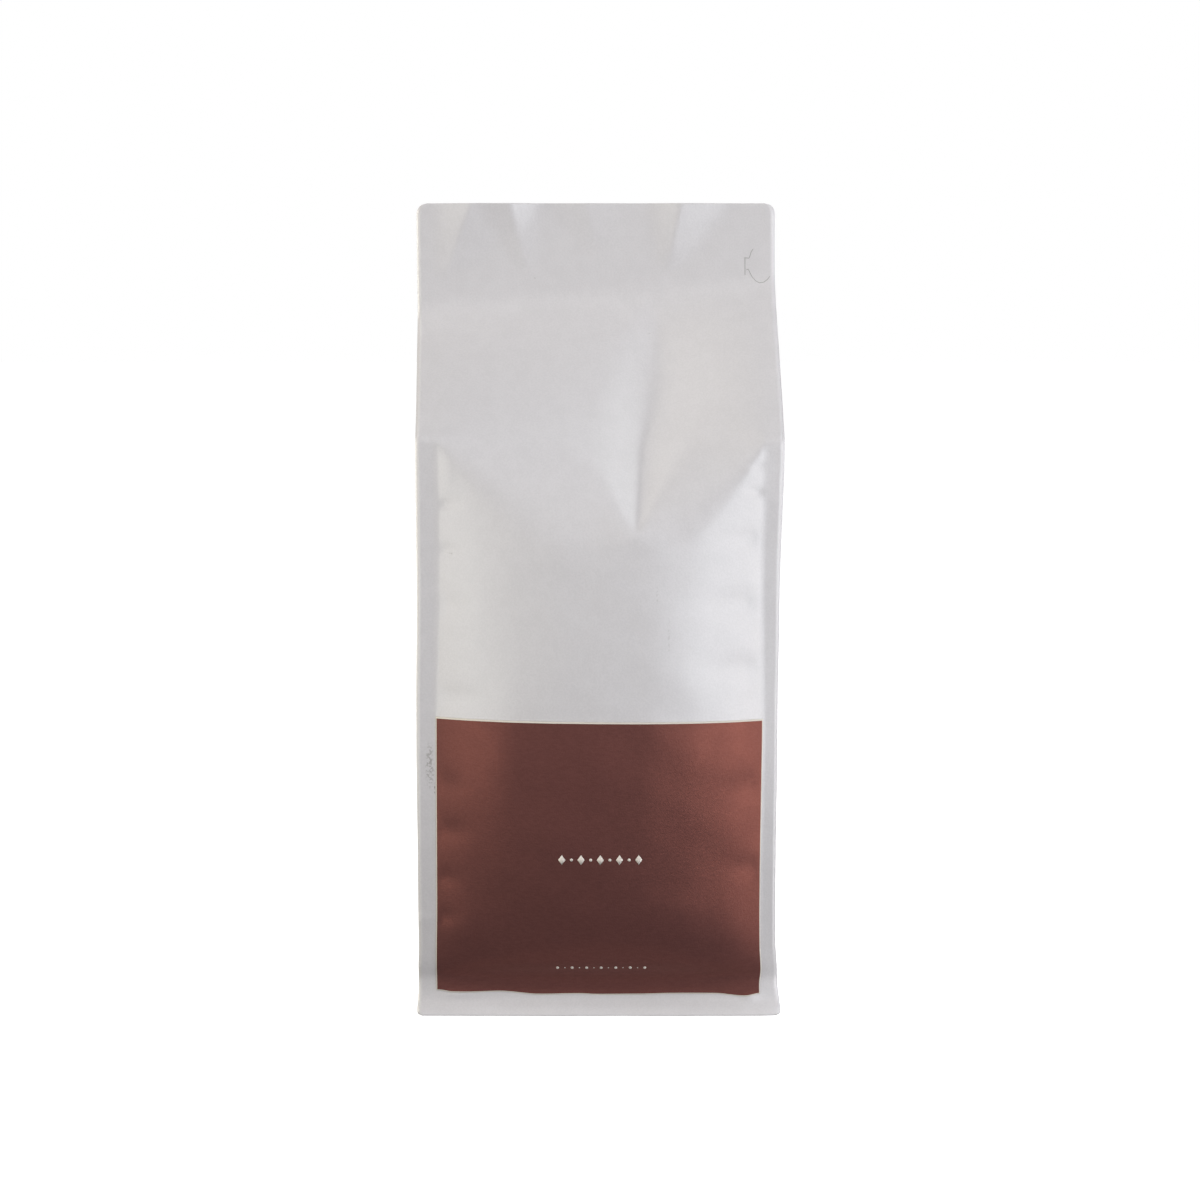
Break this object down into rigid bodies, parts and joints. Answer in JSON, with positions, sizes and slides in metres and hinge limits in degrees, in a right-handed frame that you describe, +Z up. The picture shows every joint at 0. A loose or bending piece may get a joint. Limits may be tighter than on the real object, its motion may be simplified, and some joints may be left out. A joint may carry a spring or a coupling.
{
  "type": "coffee bag",
  "caption": "Filled flat-bottom coffee pouch, sealed along its edges, with a tapered shoulder, a flat pressed top and a plain brown label.",
  "frame": {"origin": "under the middle of the bag, on the surface it stands on", "axes": "+Z up, the label faces -Y, +X to the right seen from the front"},
  "size_m": [0.1466, 0.1217, 0.324],
  "materials": {
    "film": "pearl-white laminate film, satin",
    "label": "dark brown satin print"
  },
  "bodies": {
    "root": {"pouch": "film", "label": "label"}
  },
  "joints": []
}
